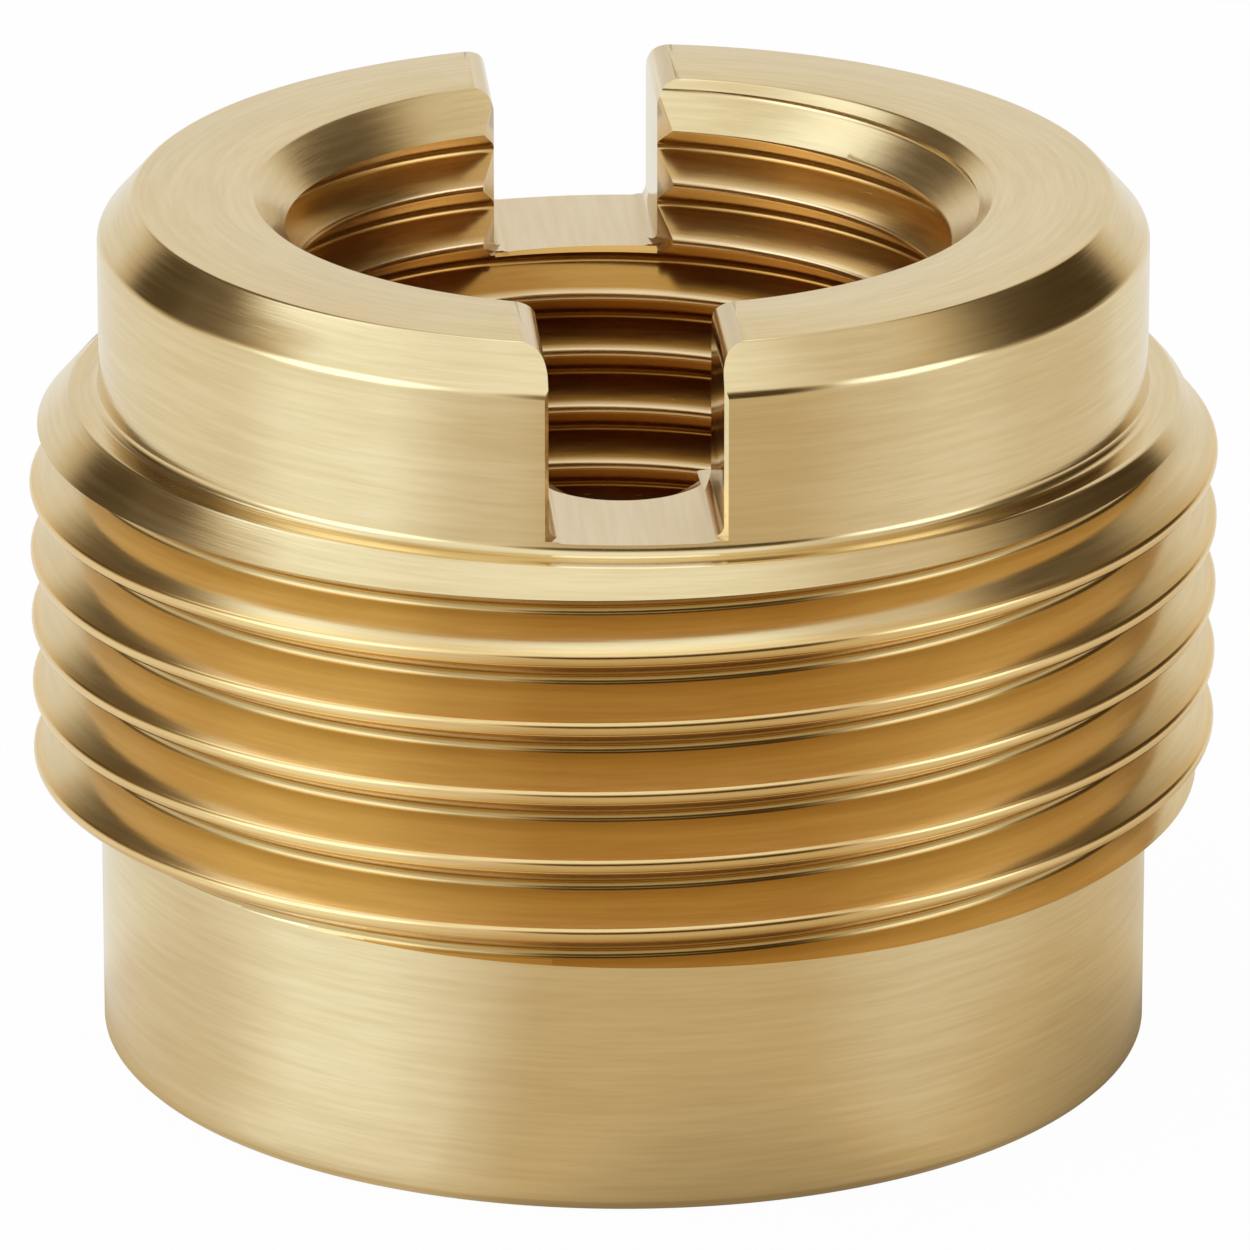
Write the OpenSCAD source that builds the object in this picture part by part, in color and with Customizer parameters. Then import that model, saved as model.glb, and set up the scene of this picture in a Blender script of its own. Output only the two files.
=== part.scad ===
// Slotted thread adapter: one turned piece with a plain collar at each end,
// an outside thread between them and a threaded bore right through.
// Z runs up the bore axis from the flat bottom face, and the slot runs along Y.
// The thread zones are drawn as the plain cylinders that the threads lie between:
// the outside one over its crests, the inside one at its crests.

/* [Body] */
// Overall height, bottom face to top face
body_h = 11.75; // [9.5:0.05:15]
// Diameter over the crests of the outside thread
thread_d = 15.85; // [13.2:0.05:20]
// Height of the zone that the outside thread fills, ledge to ledge
thread_h = 5.46; // [4:0.01:7]
// Share of the remaining height that the lower collar takes
lower_share = 0.572; // [0.45:0.001:0.65]
// Radial step from the crests in to the upper collar
upper_step = 0.95; // [0.8:0.01:1.2]
// Radial step from the crests in to the lower collar
lower_step = 0.9; // [0.8:0.01:1.2]

/* [Edges] */
// Radial width of the chamfer round the top face
top_chamfer_w = 0.5; // [0.3:0.01:0.7]
// Height of the chamfer round the top face
top_chamfer_h = 0.56; // [0.3:0.01:0.7]
// Radial depth of the lead-in cone above the outside thread
lead_in_w = 0.56; // [0.5:0.01:0.75]
// Height of the lead-in cone above the outside thread
lead_in_h = 0.63; // [0.5:0.01:1.1]
// Size of the 45 degree cone below the outside thread
run_out = 0.33; // [0.2:0.01:0.5]
// Edge break round the bottom face
bottom_break = 0.08; // [0.03:0.01:0.15]

/* [Bore] */
// Diameter at the crests of the inside thread
bore_d = 8.66; // [7:0.01:10.4]
// Radial width of the 45 degree countersink at each end of the bore
csk_w = 0.585; // [0.4:0.005:0.65]

/* [Slot] */
// Width between the slot's walls
slot_w = 2.24; // [1.6:0.01:2.8]
// Height of the slot's floor above the upper ledge
slot_rise = 0.25; // [0.05:0.01:0.4]
// Distance from the bore axis to the slot's middle plane
slot_offset = -0.32; // [-0.4:0.01:0.4]
// Width and height of the 45 degree bevel along the slot's top edges
slot_bevel = 0.22; // [0.1:0.01:0.3]
// Radius in the slot's bottom corners
slot_corner_r = 0.2; // [0.1:0.01:0.4]

/* [Hidden] */
$fn = 128;

// How far a cutting shape passes the faces that it cuts
over = 1;
crest_r = thread_d / 2;
upper_r = crest_r - upper_step;
lower_r = crest_r - lower_step;
bore_r = bore_d / 2;
csk_r = bore_r + csk_w;
lower_ledge_z = (body_h - thread_h) * lower_share;
upper_ledge_z = lower_ledge_z + thread_h;
slot_floor_z = upper_ledge_z + slot_rise;
slot_l = thread_d + 2 * over;

// The turned outside: both collars, both ledges and the cones of the thread zone
module turned_blank() {
    rotate_extrude()
        polygon([
            [0, 0],
            [lower_r - bottom_break, 0],
            [lower_r, bottom_break],
            [lower_r, lower_ledge_z],
            [crest_r - run_out, lower_ledge_z],
            [crest_r, lower_ledge_z + run_out],
            [crest_r, upper_ledge_z - lead_in_h],
            [crest_r - lead_in_w, upper_ledge_z],
            [upper_r, upper_ledge_z],
            [upper_r, body_h - top_chamfer_h],
            [upper_r - top_chamfer_w, body_h],
            [0, body_h]
        ]);
}

// The through hole with its countersink at each end
module bore_void() {
    rotate_extrude()
        polygon([
            [0, -over],
            [csk_r + over, -over],
            [bore_r, csk_w],
            [bore_r, body_h - csk_w],
            [csk_r + over, body_h + over],
            [0, body_h + over]
        ]);
}

// One round bottom corner of the slot, as a rod along Y; side is -1 or 1
module slot_corner(side) {
    translate([side * (slot_w / 2 - slot_corner_r), 0, slot_floor_z + slot_corner_r])
        rotate([90, 0, 0])
            cylinder(h = slot_l, r = slot_corner_r, center = true);
}

// The driver slot across the top: floor with round corners, walls, bevelled top edges
module slot_void() {
    top_z = body_h + over;
    translate([slot_offset, 0, 0]) {
        translate([-slot_w / 2, -slot_l / 2, slot_floor_z + slot_corner_r])
            cube([slot_w, slot_l, top_z - slot_floor_z - slot_corner_r]);
        translate([slot_corner_r - slot_w / 2, -slot_l / 2, slot_floor_z])
            cube([slot_w - 2 * slot_corner_r, slot_l, slot_corner_r + over / 2]);
        for (side = [-1, 1]) slot_corner(side);
        rotate([90, 0, 0])
            linear_extrude(height = slot_l, center = true)
                polygon([
                    [-slot_w / 2, body_h - slot_bevel],
                    [slot_w / 2, body_h - slot_bevel],
                    [slot_w / 2 + slot_bevel + over, top_z],
                    [-slot_w / 2 - slot_bevel - over, top_z]
                ]);
    }
}

module body() {
    color([0.83, 0.74, 0.55])
        difference() {
            turned_blank();
            bore_void();
            slot_void();
        }
}

body();
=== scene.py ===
import math

import bpy
from bpy.props import FloatProperty, FloatVectorProperty, IntProperty, PointerProperty
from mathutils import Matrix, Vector


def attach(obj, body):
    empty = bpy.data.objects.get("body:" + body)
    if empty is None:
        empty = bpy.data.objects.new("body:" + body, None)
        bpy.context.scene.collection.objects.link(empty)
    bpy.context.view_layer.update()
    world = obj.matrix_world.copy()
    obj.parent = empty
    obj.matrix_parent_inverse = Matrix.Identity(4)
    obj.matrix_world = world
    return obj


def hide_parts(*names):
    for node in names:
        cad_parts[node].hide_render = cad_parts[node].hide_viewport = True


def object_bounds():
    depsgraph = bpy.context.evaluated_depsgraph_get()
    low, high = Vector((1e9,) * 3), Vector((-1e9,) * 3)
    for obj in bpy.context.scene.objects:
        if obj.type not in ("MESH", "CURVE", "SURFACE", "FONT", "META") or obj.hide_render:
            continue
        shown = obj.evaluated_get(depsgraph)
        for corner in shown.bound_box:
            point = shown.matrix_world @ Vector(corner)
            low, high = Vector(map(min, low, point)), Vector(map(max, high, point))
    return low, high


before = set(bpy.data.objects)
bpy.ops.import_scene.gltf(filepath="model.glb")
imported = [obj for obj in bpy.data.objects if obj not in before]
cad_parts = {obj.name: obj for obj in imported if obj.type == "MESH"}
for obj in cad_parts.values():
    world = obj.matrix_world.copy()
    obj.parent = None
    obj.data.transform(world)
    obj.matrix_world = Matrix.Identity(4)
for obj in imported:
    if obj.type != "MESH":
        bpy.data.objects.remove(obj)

bl_info = {
    "name": "Slotted thread adapter",
    "version": (1, 0, 0),
    "blender": (4, 5, 0),
    "location": "3D View > Sidebar > Adapter",
    "description": "Turns, threads and slots a brass thread adapter and sets its studio",
    "category": "Add Mesh",
}

CAD_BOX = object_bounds()
BODY_H = CAD_BOX[1].z - CAD_BOX[0].z
CREST_R = min(-CAD_BOX[0].x, CAD_BOX[1].x, -CAD_BOX[0].y, CAD_BOX[1].y)
MM = 0.001
# Vertices closer than this, in metres, are one vertex
WELD = 1.5e-6
# How far a cutter stands past what it cuts
PAST = 1 * MM
# Slack when a face is told by its place
NEAR = 0.02 * MM
# Edges that turn less than this are smooth
SMOOTH_ANGLE = math.radians(28)
# Degrees round the object from its front to the camera
CAMERA_AZIMUTH = -4.08


# ---------------------------------------------------------------- sizes and colours


def length(name, description, mm):
    """A size in the panel, written here in millimetres."""
    return FloatProperty(
        name=name, description=description, default=mm * MM, unit="LENGTH", subtype="DISTANCE", precision=5
    )


def tint(name, description, shade):
    """A colour in the panel."""
    return FloatVectorProperty(
        name=name, description=description, default=shade, size=3, min=0, max=1, subtype="COLOR"
    )


def share(name, description, amount):
    """A share from 0 to 1 in the panel."""
    return FloatProperty(name=name, description=description, default=amount, min=0, max=1, subtype="FACTOR")


class AdapterSizes(bpy.types.PropertyGroup):
    """Sizes of the turned blank, its two threads and its driver slot."""

    body_h: FloatProperty(
        name="Height", description="Bottom face to top face",
        default=BODY_H, unit="LENGTH", subtype="DISTANCE",
    )
    crest_r: FloatProperty(
        name="Crest radius", description="Radius over the crests of the outside thread",
        default=CREST_R, unit="LENGTH", subtype="DISTANCE",
    )
    upper_r: length("Upper collar radius", "Radius of the collar above the outside thread", 6.975)
    lower_r: length("Lower collar radius", "Radius of the collar below the outside thread", 7.025)
    lower_ledge_z: length("Lower ledge", "Height of the ledge under the outside thread", 3.598)
    upper_ledge_z: length("Upper ledge", "Height of the ledge over the outside thread", 9.058)
    top_chamfer_w: length("Top chamfer width", "Radial width of the chamfer round the top", 0.5)
    top_chamfer_h: length("Top chamfer height", "Height of the chamfer round the top", 0.56)
    lead_in_w: length("Lead-in width", "Radial depth of the cone over the outside thread", 0.56)
    lead_in_h: length("Lead-in height", "Height of the cone over the outside thread", 0.63)
    ledge_round: length("Ledge round", "Radius in the corner of the upper ledge and its collar", 0.13)
    run_out: length("Run-out", "Size of the 45 degree cone under the outside thread", 0.33)
    edge_break: length("Edge break", "Rounding of the bottom edge", 0.12)
    bore_r: length("Bore radius", "Radius at the crests of the inside thread", 4.33)
    csk_w: length("Countersink", "Radial width of the 45 degree countersinks", 0.585)

    outer_pitch: length("Outside pitch", "Rise of the outside thread in one turn", 0.9407)
    outer_depth: length("Outside depth", "Depth of the outside thread", 0.635)
    outer_crest: length("Outside crest", "Width of the flat on the outside crests", 0.14)
    outer_root: length("Outside root", "Width of the flat in the outside grooves", 0.11)
    outer_start: length("Outside start", "Height of one outside crest on the right-hand side", 8.225)
    inner_pitch: length("Inside pitch", "Rise of the inside thread in one turn", 0.8157)
    inner_depth: length("Inside depth", "Depth of the inside thread", 0.47)
    inner_crest: length("Inside crest", "Width of the flat on the inside crests", 0.08)
    inner_root: length("Inside root", "Width of the flat in the inside grooves", 0.08)
    inner_start: length("Inside start", "Height of one inside crest on the right-hand side", 8.605)

    slot_w: length("Slot width", "Distance between the slot's walls", 2.24)
    slot_rise: length("Slot rise", "Height of the slot's floor over the upper ledge", 0.25)
    slot_fall: length("Slot fall", "Drop of the slot's floor from its back end to its front end", 0.19)
    slot_offset: length("Slot offset", "Distance from the bore axis to the slot's middle", -0.32)
    slot_bevel: length("Slot bevel", "Size of the bevel along the slot's top edges", 0.22)
    slot_lip_r: length("Slot front lip", "Bore axis to the front lip of the slot's floor", 5.3)
    slot_back_r: length("Slot back lip", "Bore axis to the back lip of the slot's floor", 4.82)
    slot_flare: length("Slot flare", "How far a file opens the slot's walls at the bore", 0.18)
    slot_corner_r: length("Slot corner radius", "Radius in the slot's bottom corners", 0.2)

    turn_steps: IntProperty(
        name="Facets", description="Facets round each turned face", default=240, min=32, max=512
    )
    thread_steps: IntProperty(
        name="Thread facets", description="Facets in one turn of a thread", default=160, min=32
    )


class AdapterFinish(bpy.types.PropertyGroup):
    """Colours and surface of the brass, and the painted shade in its threads and bore."""

    brass: tint("Brass", "Colour of the bare brass", (0.82, 0.65, 0.37))
    milled: tint("Slot brass", "Colour of the milled faces of the slot", (0.85, 0.7, 0.46))
    # Painted shade: a darker copy of the brass on the outside thread's faces that face down
    down_face_shade: tint("Thread grooves", "Colour of the outside thread facing down", (0.75, 0.49, 0.185))
    crest: tint("Thread crests", "Colour of the crests of the outside thread", (0.86, 0.62, 0.29))
    # Painted shade at the bottom of the outside grooves
    root: tint("Thread roots", "Colour at the bottom of the outside grooves", (0.6, 0.44, 0.2))
    # Painted shade in the bore's grooves, lighter high up and darker low down
    bore: tint("Bore thread", "Colour high in the bore's grooves", (0.72, 0.47, 0.18))
    bore_low_shade: tint("Deep bore thread", "Colour low in the bore's grooves", (0.48, 0.24, 0.05))
    # The bore's crests, left clear of the painted shade in its grooves
    bore_crest: tint("Bore crests", "Colour of the unshaded crests in the bore", (0.82, 0.6, 0.33))
    brass_roughness: share("Roughness", "Roughness of the turned faces", 0.17)
    thread_roughness: share("Thread roughness", "Roughness of the outside thread", 0.17)
    bore_roughness: share("Bore roughness", "Roughness of the bore's thread", 0.24)
    turned_grain: share("Tool marks", "Strength of the turned lines", 0.5)
    milled_roughness: share("Slot floor roughness", "Roughness of the slot's floor", 0.3)
    wall_roughness: share("Slot wall roughness", "Roughness of the slot's walls", 0.13)


class AdapterStudio(bpy.types.PropertyGroup):
    """Floor, light and camera."""

    distance: length("Camera distance", "Distance from the camera to the point that it looks at", 165.0)
    aim_z: length("Aim height", "Height of the point that the camera looks at", 5.6)
    azimuth: FloatProperty(
        name="Camera azimuth", description="Angle round the object from the front", subtype="ANGLE",
        default=math.radians(CAMERA_AZIMUTH),
    )
    elevation: FloatProperty(
        name="Camera elevation", description="Angle over the floor", subtype="ANGLE",
        default=math.radians(19.95),
    )
    lens: FloatProperty(name="Lens", description="Focal length in millimetres", default=354.5, min=20)
    shift: FloatProperty(name="Shift", description="Sideways shift of the frame", default=0.0013)
    floor_size: length("Floor size", "Side of the square floor", 1200.0)


# ---------------------------------------------------------------- outlines and cutting


def deselect_all():
    """Object mode with nothing selected."""
    if bpy.context.object and bpy.context.object.mode != "OBJECT":
        bpy.ops.object.mode_set(mode="OBJECT")
    bpy.ops.object.select_all(action="DESELECT")


def select_only(obj):
    """Object mode with this one object selected."""
    deselect_all()
    bpy.context.view_layer.objects.active = obj
    obj.select_set(True)


def edit_all(obj):
    """Edit mode on this one object with all of it selected."""
    select_only(obj)
    bpy.ops.object.mode_set(mode="EDIT")
    bpy.ops.mesh.select_mode(type="VERT")
    bpy.ops.mesh.select_all(action="SELECT")


def outline(name, points, closed=True, rounds=()):
    """A line from point to point. Each round is (point, size, segments) and rounds that corner."""
    deselect_all()
    bpy.ops.mesh.primitive_plane_add(size=MM)
    obj = bpy.context.object
    obj.name = name
    edit_all(obj)
    bpy.ops.mesh.merge(type="CENTER")
    bpy.ops.transform.translate(value=points[0])
    for here, there in zip(points, points[1:]):
        step = Vector(there) - Vector(here)
        bpy.ops.mesh.extrude_vertices_move(TRANSFORM_OT_translate={"value": step})
    if closed:
        bpy.ops.object.mode_set(mode="OBJECT")
        ends = (Vector(points[0]), Vector(points[-1]))
        for vertex in obj.data.vertices:
            vertex.select = min((vertex.co - end).length for end in ends) < WELD
        bpy.ops.object.mode_set(mode="EDIT")
        bpy.ops.mesh.edge_face_add()
    for corner, size, segments in rounds:
        bpy.ops.mesh.select_all(action="DESELECT")
        bpy.ops.object.mode_set(mode="OBJECT")
        for vertex in obj.data.vertices:
            vertex.select = (vertex.co - Vector(corner)).length < WELD
        bpy.ops.object.mode_set(mode="EDIT")
        bpy.ops.mesh.bevel(offset=size, segments=segments, affect="VERTICES")
    bpy.ops.object.mode_set(mode="OBJECT")
    return obj


def apply(obj, kind, **settings):
    """Adds a modifier and applies it."""
    select_only(obj)
    modifier = obj.modifiers.new(kind.title(), kind)
    for key, value in settings.items():
        setattr(modifier, key, value)
    bpy.ops.object.modifier_apply(modifier=modifier.name)


def outward(obj):
    """Welds the mesh and turns every face outwards."""
    edit_all(obj)
    bpy.ops.mesh.remove_doubles(threshold=WELD)
    bpy.ops.mesh.normals_make_consistent(inside=False)
    bpy.ops.object.mode_set(mode="OBJECT")


def close_end(obj, end):
    """Draws the open rim at the low or high end of a screw in to one point."""
    bpy.ops.mesh.select_mode(type="EDGE")
    bpy.ops.mesh.select_all(action="DESELECT")
    bpy.ops.mesh.select_non_manifold(
        use_wire=False, use_multi_face=False, use_non_contiguous=False, use_verts=False
    )
    bpy.ops.object.mode_set(mode="OBJECT")
    mesh = obj.data
    middle = sum(v.co.z for v in mesh.vertices) / len(mesh.vertices)
    rim = [edge for edge in mesh.edges if edge.select]
    for vertex in mesh.vertices:
        vertex.select = False
    for edge in rim:
        edge.select = (mesh.vertices[edge.vertices[0]].co.z > middle) == (end > 0)
        if edge.select:
            for i in edge.vertices:
                mesh.vertices[i].select = True
    bpy.ops.object.mode_set(mode="EDIT")
    bpy.ops.mesh.extrude_edges_move()
    bpy.ops.mesh.merge(type="CENTER")


def turn(obj, steps, turns=1, pitch=0.0):
    """Revolves an outline about the bore axis, as a screw if it has a pitch."""
    apply(
        obj, "SCREW", steps=steps, render_steps=steps, iterations=turns, screw_offset=pitch,
        use_merge_vertices=False,
    )
    edit_all(obj)
    bpy.ops.mesh.remove_doubles(threshold=WELD)
    bpy.ops.mesh.normals_make_consistent(inside=False)
    if pitch:
        for end in (-1, 1):
            close_end(obj, end)
    outward(obj)


def combine(obj, tool, operation):
    """Cuts obj with a tool, and clears the tool away."""
    apply(obj, "BOOLEAN", operation=operation, object=tool, solver="MANIFOLD")
    if not obj.data.polygons:
        raise RuntimeError(f"{tool.name} left nothing of {obj.name}")
    mesh = tool.data
    bpy.data.objects.remove(tool)
    bpy.data.meshes.remove(mesh)


def prism(obj, travel):
    """Fills a closed outline and gives it length."""
    edit_all(obj)
    bpy.ops.mesh.edge_face_add()
    bpy.ops.mesh.extrude_region_move(TRANSFORM_OT_translate={"value": travel})
    outward(obj)


# ---------------------------------------------------------------- the threaded body


def turned_blank(s):
    """The blank as it leaves the lathe: both collars, ledges, cones and the countersunk bore."""
    # Left on for the threads to take off
    spare, bore_spare = 0.08 * MM, 0.12 * MM
    rod_r = s.crest_r + spare
    lead = s.lead_in_h / s.lead_in_w
    bore_r = s.bore_r - bore_spare
    csk_r = s.bore_r + s.csk_w
    corner_r = s.crest_r - s.lead_in_w
    low_r = s.crest_r - s.run_out
    top = s.body_h
    points = [
        (csk_r, 0),
        (s.lower_r - s.edge_break, 0),
        (s.lower_r, s.edge_break),
        (s.lower_r, s.lower_ledge_z),
        (low_r, s.lower_ledge_z),
        (rod_r, s.lower_ledge_z + s.run_out + spare),
        (rod_r, s.upper_ledge_z - s.lead_in_h - spare * lead),
        (corner_r, s.upper_ledge_z),
        (s.upper_r, s.upper_ledge_z),
        (s.upper_r, top - s.top_chamfer_h),
        (s.upper_r - s.top_chamfer_w, top),
        (csk_r, top),
        (bore_r, top - csk_r + bore_r),
        (bore_r, csk_r - bore_r),
    ]
    points = [(r, 0, z) for r, z in points]
    bottom_edge, ledge_edge, chamfer_edge = 0.04 * MM, 0.05 * MM, 0.07 * MM
    top_edge, mouth_edge = 0.035 * MM, 0.03 * MM
    rounds = [
        (points[1], bottom_edge, 3),
        (points[2], bottom_edge, 3),
        (points[9], chamfer_edge, 5),
        (points[10], top_edge, 3),
        (points[11], mouth_edge, 3),
        (points[7], ledge_edge, 4),
        (points[8], s.ledge_round, 8),
    ]
    blank = outline("threaded_body", points, rounds=rounds)
    turn(blank, s.turn_steps)
    return blank


def threaded_rod(s, name, pitch, start, section, rounds, lift=0):
    """A threaded rod longer than the body.

    The section is one turn of the thread, (radius, height) from point to point. Start is the height of one
    crest, and lift is how far the section's middle is above it. Each round is (size, segments), one for
    each corner between the section's ends.
    """
    longer, below = 3 * MM, 2 * MM
    turns = math.ceil((s.body_h + longer) / pitch) + 1
    low = start - pitch * math.ceil((start + below) / pitch)
    points = [(r, 0, low + lift + z) for r, z in section]
    corners = [(point, *size) for point, size in zip(points[1:-1], rounds)]
    rod = outline(name, points, closed=False, rounds=corners)
    turn(rod, s.thread_steps, turns, pitch)
    return rod


def outside_thread(s):
    """A threaded rod that the blank is cut down to."""
    half, crest, root = s.outer_pitch / 2, s.outer_crest / 2, s.outer_root / 2
    root_r = s.crest_r - s.outer_depth
    section = [
        (root_r, -half), (root_r, -half + root), (s.crest_r, -crest),
        (s.crest_r, crest), (root_r, half - root), (root_r, half),
    ]
    # The lower edge of the crest is the most worn
    sharp, worn = (0.05 * MM, 4), (0.08 * MM, 6)
    rounds = (sharp, worn, sharp, sharp)
    return threaded_rod(s, "outside_thread", s.outer_pitch, s.outer_start, section, rounds)


def inside_thread(s):
    """The threaded rod of air that is left in the bore."""
    half, crest, root = s.inner_pitch / 2, s.inner_crest / 2, s.inner_root / 2
    root_r = s.bore_r + s.inner_depth
    section = [
        (s.bore_r, -half), (s.bore_r, -half + crest), (root_r, -root),
        (root_r, root), (s.bore_r, half - crest), (s.bore_r, half),
    ]
    rounds = [(0.036 * MM, 4)] * 4
    return threaded_rod(s, "inside_thread", s.inner_pitch, s.inner_start, section, rounds, lift=half)


def slot_floor(s, y):
    """Height of the slot's floor at this distance behind the bore axis."""
    return s.upper_ledge_z + s.slot_rise + s.slot_fall * y / (2 * s.upper_r)


def slot_run(s):
    """Length of the slot's cutters, which stand past the thread crests at both ends."""
    return 2 * s.crest_r + 2 * PAST


def slot_floor_cutter(s):
    """The lower half of the slot, with its sloping floor and rounded bottom corners."""
    half, run = s.slot_w / 2, slot_run(s)
    near, far = slot_floor(s, -run / 2), slot_floor(s, run / 2)
    # Over the low end of the upper half, so that the two meet
    high = near + 1.2 * MM
    section = [(half, near), (half, high), (-half, high), (-half, near)]
    points = [(s.slot_offset + x, -run / 2, z) for x, z in section]
    rounds = [(points[0], s.slot_corner_r, 6), (points[3], s.slot_corner_r, 6)]
    cutter = outline("slot_floor", points, rounds=rounds)
    prism(cutter, (0, run, far - near))
    return cutter


def slot_cutter(s):
    """The upper half of the slot: its walls and top edges, drawn across it, then run along it."""
    half, low, top = s.slot_w / 2, s.upper_ledge_z + s.slot_rise + 0.8 * MM, s.body_h
    # The bevel is steep below the fold and shallow above it, and runs out just over the top face
    brow = s.slot_bevel + 0.05 * MM
    fold = 0.3 * brow
    skim, skim_rise = 0.3 * PAST, 0.004 * PAST
    side = [
        (half, low), (half, top - brow), (half + fold, top - fold), (half + brow, top),
        (half + brow + skim, top + skim_rise), (half + brow + skim, top + PAST),
    ]
    section = side + [(-x, z) for x, z in reversed(side)]
    run = slot_run(s)
    points = [(s.slot_offset + x, -run / 2, z) for x, z in section]
    bevel_round, top_round = 0.09 * MM, 0.08 * MM
    rounds = [
        (points[1], bevel_round, 5), (points[10], bevel_round, 5),
        (points[2], bevel_round, 4), (points[9], bevel_round, 4),
        (points[3], top_round, 5), (points[8], top_round, 5),
    ]
    cutter = outline("slot", points, rounds=rounds)
    prism(cutter, (0, run, 0))
    return cutter


def slot_deburr(s, side):
    """A file's bite off the upright edges of one slot wall, at the bore and at the collar."""
    wall = s.slot_offset + side * s.slot_w / 2
    collar_bite = 0.06 * MM
    outer_y = math.sqrt(s.upper_r**2 - wall**2) - collar_bite
    root_y = math.sqrt((s.bore_r + s.inner_depth) ** 2 - wall**2)
    crest_y = math.sqrt(s.bore_r**2 - (wall + side * s.slot_flare) ** 2)
    slope = s.slot_flare / (root_y - crest_y)
    # How far each filed face runs on into the slot's air, and into the wall
    air, reach = 0.2 * MM, 0.8 * MM
    half = [
        (wall + side * reach, outer_y + reach),
        (wall - side * air, outer_y - air),
        (wall - side * air, root_y + air / slope),
        (wall + side * reach * slope, root_y - reach),
    ]
    plan = [(x, -y) for x, y in half] + [(x, y) for x, y in reversed(half)]
    # Closed through the middle of the slot, where there is only air
    plan = [(s.slot_offset, plan[0][1])] + plan + [(s.slot_offset, plan[-1][1])]
    points = [(x, y, slot_floor(s, y) + NEAR) for x, y in plan]
    cutter = outline("deburr", points)
    prism(cutter, (0, 0, s.body_h - slot_floor(s, 0) + PAST))
    return cutter


def lip_cone(name, radius, floor_z, steepness, steps):
    """A cone that stands on its point, with its rim at the slot's floor and a thin slice over it."""
    tip_z = floor_z - radius * math.tan(math.radians(steepness))
    slice_z = floor_z + 0.02 * MM
    points = [(0, 0, tip_z), (radius, 0, floor_z), (radius, 0, slice_z), (0, 0, slice_z)]
    cone = outline(name, points, closed=False)
    turn(cone, steps)
    return cone


def slot_front_lip(s):
    """A shallow dish that takes the thin lip off the front of the slot's floor at the bore."""
    radius = 1.2 * MM
    cutter = lip_cone("lip", radius, slot_floor(s, -s.slot_lip_r), steepness=27, steps=64)
    edit_all(cutter)
    bpy.ops.transform.translate(value=(s.slot_offset, radius - s.slot_lip_r, 0))
    bpy.ops.object.mode_set(mode="OBJECT")
    return cutter


def slot_back_lip(s):
    """A cone round the bore, as wide as the slot, that takes the thin lip off the back of its floor."""
    floor_z = slot_floor(s, s.slot_back_r)
    cone = lip_cone("back_lip", s.slot_back_r, floor_z, steepness=30, steps=120)
    wall_gap, low, height = 0.01 * MM, floor_z - 0.6 * MM, 1.2 * MM
    half, front_y, back_y = s.slot_w / 2 - wall_gap, 3.4 * MM, 6 * MM
    plan = [(half, front_y), (half, back_y), (-half, back_y), (-half, front_y)]
    keep = outline("lip_width", [(s.slot_offset + x, y, low) for x, y in plan])
    prism(keep, (0, 0, height))
    combine(cone, keep, "INTERSECT")
    return cone


# ---------------------------------------------------------------- which face has which finish


def paint_faces(obj, slot, test):
    """Gives the faces that pass a test of centre and normal the finish in this slot."""
    edit_all(obj)
    bpy.ops.mesh.select_mode(type="FACE")
    bpy.ops.mesh.select_all(action="DESELECT")
    bpy.ops.object.mode_set(mode="OBJECT")
    for face in obj.data.polygons:
        face.select = test(face.center, face.normal)
    bpy.ops.object.mode_set(mode="EDIT")
    obj.active_material_index = slot
    bpy.ops.object.material_slot_assign()
    bpy.ops.object.mode_set(mode="OBJECT")


def slot_faces(s):
    """A test for the slot's floor, walls and bevels: outside the bore, below the top and along the slot."""
    wall = s.slot_w / 2 + s.slot_bevel + NEAR
    lean = 0.02

    def in_slot(centre, normal):
        inside = abs(centre.x - s.slot_offset) < wall and centre.z > slot_floor(s, centre.y) - NEAR
        along = abs(normal.y) < lean and centre.z < s.body_h - NEAR / 2
        return inside and along and centre.xy.length > s.bore_r - NEAR / 2

    return in_slot


def thread_faces(s, in_slot):
    """A test for both threads, short of their ledges, cones and countersinks and of the slot."""
    root_r = s.bore_r + s.inner_depth
    near_root_r = s.bore_r + s.inner_depth * 0.9
    cone = s.lead_in_w / s.lead_in_h
    level = 0.98

    def in_thread(centre, normal):
        r, z = centre.xy.length, centre.z
        if r < root_r + NEAR:
            # A level face in the bore is the slot's, unless it is under its floor and clear of the roots
            sloping = abs(normal.z) < level
            under_slot = r < near_root_r and z < slot_floor(s, centre.y) - NEAR
            between = s.csk_w + NEAR < z < s.body_h - s.csk_w - NEAR
            return between and (sloping or under_slot) and not in_slot(centre, normal)
        return (
            s.lower_ledge_z + NEAR < z < s.upper_ledge_z - NEAR
            and r < s.crest_r - s.lead_in_w + (s.upper_ledge_z - z) * cone - NEAR
            and r < s.crest_r - s.run_out + z - s.lower_ledge_z - NEAR
        )

    return in_thread


# ---------------------------------------------------------------- shader maths


class Socket:
    """A node's output. Arithmetic on a value adds its Math nodes."""

    def __init__(self, graph, link):
        self.graph, self.link = graph, link

    def math(self, operation, *values):
        values = dict(enumerate((self,) + values))
        return self.graph.add("ShaderNodeMath", {"operation": operation}, values)

    def __add__(self, other):
        return self.math("ADD", other)

    def __sub__(self, other):
        return self.math("SUBTRACT", other)

    def __rsub__(self, other):
        return self.graph.add("ShaderNodeMath", {"operation": "SUBTRACT"}, {0: other, 1: self})

    def __mul__(self, other):
        return self.math("MULTIPLY", other)

    def __truediv__(self, other):
        return self.math("DIVIDE", other)

    def __pow__(self, other):
        return self.math("POWER", other)

    __radd__ = __add__
    __rmul__ = __mul__


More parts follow.
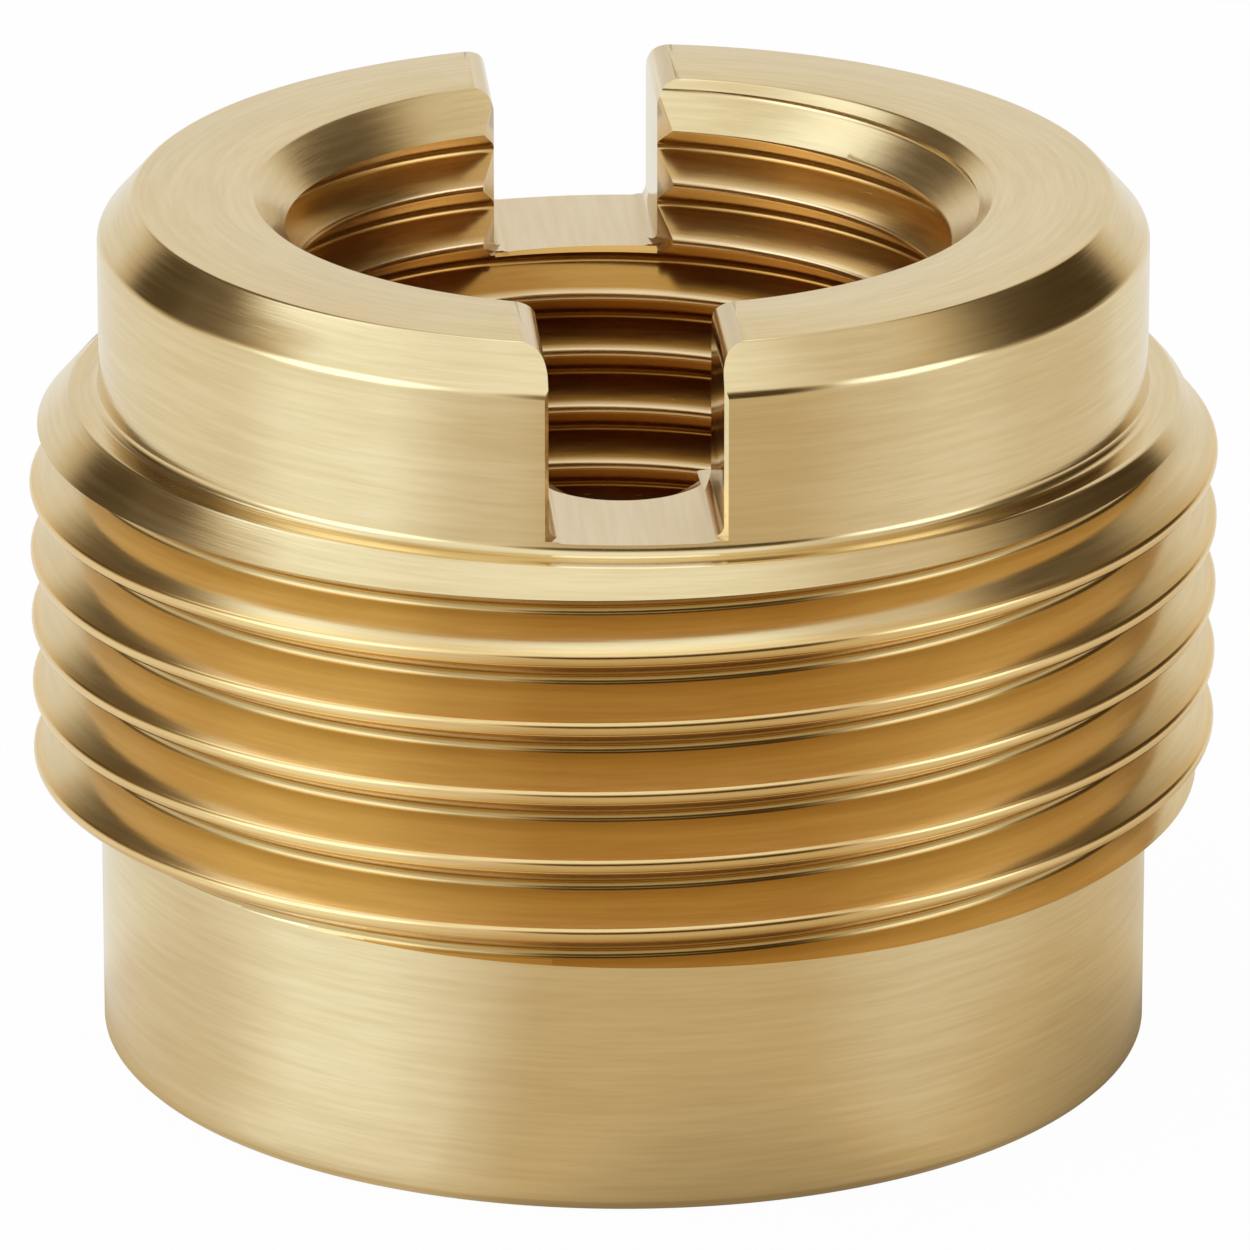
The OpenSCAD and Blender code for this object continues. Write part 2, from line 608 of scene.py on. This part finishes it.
class Graph:
    """The nodes of one finish, emptied first."""

    def __init__(self, tree):
        self.tree = tree
        tree.nodes.clear()

    def add(self, kind, settings=None, inputs=None, output=0):
        """Adds a node: its settings first, then the value or link of each socket. Returns one output."""
        node = self.tree.nodes.new(kind)
        for key, value in (settings or {}).items():
            if key == "stops":
                elements = node.color_ramp.elements
                while len(elements) < len(value):
                    elements.new(0.5)
                for element, (place, colour) in zip(elements, value):
                    element.position, element.color = place, (*colour, 1)
            else:
                setattr(node, key, value)
        for key, value in (inputs or {}).items():
            if isinstance(value, Socket):
                self.tree.links.new(value.link, node.inputs[key])
            else:
                node.inputs[key].default_value = value
        return Socket(self, node.outputs[output]) if node.outputs else node

    def split(self, vector):
        """The three parts of a vector."""
        outputs = self.add("ShaderNodeSeparateXYZ", inputs={0: vector}).link.node.outputs
        return tuple(Socket(self, outputs[i]) for i in range(3))

    def mix_colour(self, factor, a, b):
        """Colour a, and colour b where factor is 1. A Mix node's colours are its sockets 6, 7 and 2."""
        return self.add("ShaderNodeMix", {"data_type": "RGBA"}, {0: factor, 6: a, 7: b}, 2)

    def two_tone(self, factor, shade, darker, lighter):
        """A colour from darker to lighter, each given by how much it scales the shade's parts."""
        a, b = (tuple(min(1.0, c * k) for c, k in zip(shade, scale)) + (1,) for scale in (darker, lighter))
        return self.mix_colour(factor, a, b)

    def smooth(self, value, low, high):
        """0 below low, 1 above high and an easy curve between."""
        limits = {"Value": value, "From Min": low, "From Max": high}
        return self.add("ShaderNodeMapRange", {"interpolation_type": "SMOOTHSTEP"}, limits)


# ---------------------------------------------------------------- brass


# The part of the noise that goes from the darker to the lighter tone
STREAK_SPREAD = (0.3, 0.7)
TURNED_MARK_DEPTH = 0.004 * MM
MILLED_MARK_DEPTH = 0.002 * MM


def turned_brass(s, finish, threaded=False):
    """Brass off the lathe, with fine lines round the bore axis and a rougher bore.

    On the threads, painted shade darkens the outside roots and the faces that face down, and fills the
    bore's grooves, darkest low down.
    """
    material = bpy.data.materials.new("threaded_brass" if threaded else "turned_brass")
    material.use_nodes = True
    g = Graph(material.node_tree)
    x, y, z = g.split(g.add("ShaderNodeTexCoord", output="Object"))
    radius = (x * x + y * y) ** 0.5
    # Each line keeps its depth for a millimetre or two round the turn
    across_r, across_z = radius / MM, z / MM
    along_x, along_y = x / radius, y / radius

    def lines(per_mm, along, detail):
        """Noise drawn out round the turn."""
        parts = {0: across_r * per_mm, 1: across_z * per_mm, 2: along_x * along}
        spot = g.add("ShaderNodeCombineXYZ", inputs=parts)
        return g.add(
            "ShaderNodeTexNoise", {"noise_dimensions": "4D"},
            {"Vector": spot, "W": along_y * along, "Scale": 1.0, "Detail": detail, "Roughness": 0.6},
        )

    fine = lines(per_mm=14.0, along=5.0, detail=3.0)
    broad = lines(per_mm=2.2, along=1.6, detail=2.0)
    streak = g.smooth(fine * 0.6 + broad * 0.4, *STREAK_SPREAD)

    def streaked(shade):
        """This colour, a little darker and a little lighter from line to line."""
        return g.two_tone(streak, shade, darker=(0.92, 0.9, 0.86), lighter=(1.05, 1.07, 1.12))

    def under_crest(deep, shallow):
        """0 deeper than this below the outside crests, in millimetres, and 1 shallower."""
        return g.smooth(radius, s.crest_r - deep * MM, s.crest_r - shallow * MM)

    def over_bore(low, high):
        """0 nearer to the bore's crests than this, in millimetres, and 1 further out."""
        return g.smooth(radius, s.bore_r + low * MM, s.bore_r + high * MM)

    mouth_r = s.bore_r + s.csk_w
    outer = g.smooth(radius, mouth_r, mouth_r + 0.3 * MM)
    colour = streaked(finish.brass)
    if threaded:
        # Painted shade on the thread faces that face down
        facing_up = g.split(g.add("ShaderNodeTexCoord", output="Normal"))[2]
        clear_of_down_shade = g.smooth(facing_up, -0.5, -0.1)
        # Painted shade deep in the outside grooves
        colour = g.mix_colour(under_crest(deep=0.64, shallow=0.36), streaked(finish.root), colour)
        colour = g.mix_colour(under_crest(deep=0.16, shallow=0.05), colour, streaked(finish.crest))
        colour = g.mix_colour(clear_of_down_shade, streaked(finish.down_face_shade), colour)
        # Painted shade in the bore, darkest low down, with its crests left clear
        high_up = g.smooth(z, 8.6 * MM, 10.6 * MM)
        bore = g.mix_colour(high_up, streaked(finish.bore_low_shade), streaked(finish.bore))
        bore = g.mix_colour(over_bore(low=0.02, high=0.1), streaked(finish.bore_crest), bore)
        colour = g.mix_colour(outer, bore, colour)
        outside_roughness, grain, stretch = finish.thread_roughness, finish.turned_grain * 0.4, 0.2
    else:
        outside_roughness, grain, stretch = finish.brass_roughness, finish.turned_grain, 0.5
    base = outer * (outside_roughness - finish.bore_roughness) + finish.bore_roughness
    roughness = (fine - 0.5) * 0.14 + (broad - 0.5) * 0.1 + base
    marks = {"Strength": grain, "Distance": TURNED_MARK_DEPTH, "Height": fine + broad * 0.8}
    bump = g.add("ShaderNodeBump", inputs=marks)
    shader = g.add(
        "ShaderNodeBsdfPrincipled",
        inputs={
            "Base Color": colour, "Metallic": 1.0, "Roughness": roughness, "Normal": bump,
            "Anisotropic": stretch, "Anisotropic Rotation": 0.25,
        },
    )
    g.add("ShaderNodeOutputMaterial", inputs={"Surface": shader})
    return material


def milled_brass(finish):
    """Brass off the slotting cutter, with faint straight lines along the slot."""
    material = bpy.data.materials.new("milled_brass")
    material.use_nodes = True
    g = Graph(material.node_tree)
    place = g.add("ShaderNodeTexCoord", output="Object")
    # Lines for each metre across the slot, along it and up its walls
    lines = (9 / MM, 0.5 / MM, 3 / MM)
    drawn_out = g.add("ShaderNodeMapping", inputs={"Vector": place, "Scale": lines})
    fine = g.add("ShaderNodeTexNoise", inputs={"Vector": drawn_out, "Scale": 1.0, "Detail": 3.0})
    streak = g.smooth(fine, *STREAK_SPREAD)
    colour = g.two_tone(streak, finish.milled, darker=(0.95, 0.93, 0.92), lighter=(1.02, 1.04, 1.12))
    across = g.split(g.add("ShaderNodeTexCoord", output="Normal"))[0]
    wall = g.smooth(across * across, 0.5, 0.9)
    roughness = finish.milled_roughness - wall * (finish.milled_roughness - finish.wall_roughness)
    marks = {"Strength": 0.4, "Distance": MILLED_MARK_DEPTH, "Height": fine}
    bump = g.add("ShaderNodeBump", inputs=marks)
    shader = g.add(
        "ShaderNodeBsdfPrincipled",
        inputs={
            "Base Color": colour, "Metallic": 1.0,
            "Roughness": (fine - 0.5) * 0.12 + roughness, "Normal": bump,
        },
    )
    g.add("ShaderNodeOutputMaterial", inputs={"Surface": shader})
    return material


# ---------------------------------------------------------------- studio light by direction


def direction_at(azimuth, elevation):
    """The direction at this angle round from the front and this angle up, in radians."""
    level = math.cos(elevation)
    return Vector((math.sin(azimuth) * level, -math.cos(azimuth) * level, math.sin(elevation)))


def toward(azimuth, elevation):
    """The direction at this angle round from the camera and this angle up, in degrees."""
    return direction_at(math.radians(azimuth + CAMERA_AZIMUTH), math.radians(elevation))


# Soft boxes and flags, a later one over an earlier one: azimuth and elevation of the middle, radius of
# the full part and radius where it ends, all in degrees, and tone
CARDS = (
    (-76, 51, 32, 56, 1.04),
    (107, 65, 27, 32, 0.78),
    (82, 31, 13, 17, 0.57),
    (-29, 80, 12, 29, 0.84),
    (11, 17, 24, 39, 0.05),
    (-120, 28, 1, 32, 0.12),
    (115, 23, 3, 35, 0.05),
    (-113, 51, 1, 15, 1.25),
    (-62, 18, 13, 26, 1.45),
    (67, 20, 9, 21, 1.4),
    (180, 75, 10, 18, 1.2),
    (-150, 38, 7, 21, 0.1),
    (-5, 62, 14, 40, 1.0),
    (130, 46, 4, 17, 0.10),
    (-129, 20, 2, 12, 0.06),
    (129, 22, 4, 14, 0.03),
)
# Painted light and shade on the floor, shown only in the brass's reflections, in the same columns as the
# cards above
FLOOR_PAINTED_LIGHT = (
    (-49, -4, 19, 38, 0.99),
    (-12, 3, 4, 39, 0.77),
    (23, -18, 33, 46, 0.58),
    (70, -24, 4, 41, 0.86),
    (102, -30, 1, 34, 0.66),
    (15, -47, 10, 26, 0.39),
    (72, -51, 6, 36, 0.30),
    (-77, -40, 5, 27, 0.78),
)
ROOM_TONE = 0.89
# Tone, as a share of the top tone, to light: warm where it is dim, a little cool where it is bright
TOP_TONE = 1.5
LIGHT_STOPS = (
    (0.0, (0.045, 0.025, 0.005)),
    (0.053, (0.091, 0.066, 0.036)),
    (0.2, (0.339, 0.279, 0.189)),
    (0.4, (0.634, 0.547, 0.394)),
    (0.567, (0.769, 0.737, 0.675)),
    (0.733, (1.137, 1.258, 1.332)),
    (1.0, (1.9, 2.1, 2.4)),
)
WHITE = (1, 1, 1, 1)
PALE = (0.9, 0.9, 0.9, 1)


def studio_tone(g, direction, cards):
    """Brightness of the studio in a direction: the room, then each card over it."""
    tone = ROOM_TONE
    for azimuth, elevation, full, ends, value in cards:
        near = g.add(
            "ShaderNodeVectorMath", {"operation": "DOT_PRODUCT"},
            {0: direction, 1: toward(azimuth, elevation)}, "Value",
        )
        cover = g.smooth(near, math.cos(math.radians(ends)), math.cos(math.radians(full)))
        tone = tone + (value - tone) * cover
    return tone


def studio_colour(g, tone):
    """The light that a tone stands for, and plain white where the camera looks straight at it."""
    light = g.add("ShaderNodeValToRGB", {"stops": LIGHT_STOPS}, {0: tone / TOP_TONE})
    return g.mix_colour(g.add("ShaderNodeLightPath", output="Is Camera Ray"), light, WHITE)


def build_world():
    """The room round the object, brighter and darker by direction."""
    world = bpy.data.worlds.new("studio")
    bpy.context.scene.world = world
    world.use_nodes = True
    g = Graph(world.node_tree)
    direction = g.add("ShaderNodeTexCoord", output="Generated")
    colour = studio_colour(g, studio_tone(g, direction, CARDS))
    light = g.add("ShaderNodeBackground", inputs={"Color": colour, "Strength": 1.0})
    g.add("ShaderNodeOutputWorld", inputs={"Surface": light})


def floor_material():
    """A matt pale floor, white to the camera, that mirrors in the brass as a card of its own, with painted
    light and shade by direction and a painted shadow round the foot.
    """
    material = bpy.data.materials.new("pale_floor")
    material.use_nodes = True
    g = Graph(material.node_tree)
    place = g.add("ShaderNodeTexCoord", output="Object")
    middle = (0, 0, 5 * MM)
    away = g.add("ShaderNodeVectorMath", {"operation": "SUBTRACT"}, {0: place, 1: middle})
    direction = g.add("ShaderNodeVectorMath", {"operation": "NORMALIZE"}, {0: away})
    from_axis = g.add("ShaderNodeVectorMath", {"operation": "LENGTH"}, {0: place}, "Value")
    # Painted shadow round the foot, in what the brass mirrors
    foot_r, open_r = 6.9 * MM, 7.7 * MM
    foot_shadow_tone, more_outside = 0.63, 0.4
    painted_foot_shadow = g.smooth(from_axis, foot_r, open_r) * more_outside + foot_shadow_tone
    tone = studio_tone(g, direction, FLOOR_PAINTED_LIGHT) * painted_foot_shadow
    # White to the camera, and painted light and shade in the brass's reflections
    glow = g.add("ShaderNodeEmission", inputs={"Color": studio_colour(g, tone), "Strength": 1.0})
    matt = g.add("ShaderNodeBsdfDiffuse", inputs={"Color": PALE})
    camera, mirrored, through = (
        g.add("ShaderNodeLightPath", output=ray)
        for ray in ("Is Camera Ray", "Is Glossy Ray", "Is Transmission Ray")
    )
    # A little of the matt floor stays in what is seen, so that it keeps the object's shadow
    glow_share = 0.97
    shown = (camera + mirrored + through).math("MINIMUM", 1.0) * glow_share
    surface = g.add("ShaderNodeMixShader", inputs={0: shown, 1: matt, 2: glow})
    g.add("ShaderNodeOutputMaterial", inputs={"Surface": surface})
    return material


# ---------------------------------------------------------------- operators and panel


class ADAPTER_OT_threaded_body(bpy.types.Operator):
    """Turn, thread and slot the adapter's one piece"""

    bl_idname = "adapter.threaded_body"
    bl_label = "Threaded Body"

    def execute(self, context):
        s, finish = context.scene.adapter_sizes, context.scene.adapter_finish
        body = turned_blank(s)
        combine(body, outside_thread(s), "INTERSECT")
        combine(body, inside_thread(s), "DIFFERENCE")
        combine(body, slot_cutter(s), "DIFFERENCE")
        combine(body, slot_floor_cutter(s), "DIFFERENCE")
        for side in (-1, 1):
            combine(body, slot_deburr(s, side), "DIFFERENCE")
        combine(body, slot_front_lip(s), "DIFFERENCE")
        combine(body, slot_back_lip(s), "DIFFERENCE")
        outward(body)
        body.data.materials.clear()
        turned, milled, threaded = range(3)
        finishes = (turned_brass(s, finish), milled_brass(finish), turned_brass(s, finish, threaded=True))
        for material in finishes:
            body.data.materials.append(material)
        in_slot = slot_faces(s)
        paint_faces(body, turned, lambda centre, normal: True)
        paint_faces(body, milled, in_slot)
        paint_faces(body, threaded, thread_faces(s, in_slot))
        select_only(body)
        bpy.ops.object.shade_smooth_by_angle(angle=SMOOTH_ANGLE)
        apply(body, "WEIGHTED_NORMAL", keep_sharp=True, weight=50)
        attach(body, "root")
        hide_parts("body")
        return {"FINISHED"}


class ADAPTER_OT_studio(bpy.types.Operator):
    """Lay the floor, set the light and place the camera"""

    bl_idname = "adapter.studio"
    bl_label = "Studio"

    def execute(self, context):
        studio = context.scene.adapter_studio
        deselect_all()
        bpy.ops.mesh.primitive_plane_add(size=studio.floor_size)
        floor = context.object
        floor.name = "studio_floor"
        floor.data.materials.append(floor_material())
        build_world()
        aim = Vector((0, 0, studio.aim_z))
        back = direction_at(studio.azimuth, studio.elevation)
        bpy.ops.object.camera_add(location=aim + back * studio.distance)
        camera = context.object
        camera.rotation_euler = (-back).to_track_quat("-Z", "Y").to_euler()
        camera.data.lens = studio.lens
        camera.data.shift_x = studio.shift
        camera.data.clip_start, camera.data.clip_end = 0.01, 10
        context.scene.camera = camera
        context.scene.view_settings.view_transform = "Standard"
        return {"FINISHED"}


class ADAPTER_PT_panel(bpy.types.Panel):
    """Buttons and sizes of the adapter"""

    bl_label = "Thread Adapter"
    bl_idname = "ADAPTER_PT_panel"
    bl_space_type = "VIEW_3D"
    bl_region_type = "UI"
    bl_category = "Adapter"

    def draw(self, context):
        for group, operator in (
            ("adapter_sizes", ADAPTER_OT_threaded_body),
            ("adapter_finish", None),
            ("adapter_studio", ADAPTER_OT_studio),
        ):
            box = self.layout.box()
            settings = getattr(context.scene, group)
            for key in settings.__annotations__:
                box.prop(settings, key)
            if operator:
                box.operator(operator.bl_idname)


GROUPS = {"adapter_sizes": AdapterSizes, "adapter_finish": AdapterFinish, "adapter_studio": AdapterStudio}
CLASSES = (*GROUPS.values(), ADAPTER_OT_threaded_body, ADAPTER_OT_studio, ADAPTER_PT_panel)


def register():
    for cls in CLASSES:
        bpy.utils.register_class(cls)
    for name, group in GROUPS.items():
        setattr(bpy.types.Scene, name, PointerProperty(type=group))


def unregister():
    for name in GROUPS:
        delattr(bpy.types.Scene, name)
    for cls in reversed(CLASSES):
        bpy.utils.unregister_class(cls)


def main():
    """Builds the adapter and its studio."""
    register()
    bpy.ops.adapter.threaded_body()
    bpy.ops.adapter.studio()


if __name__ == "__main__":
    main()
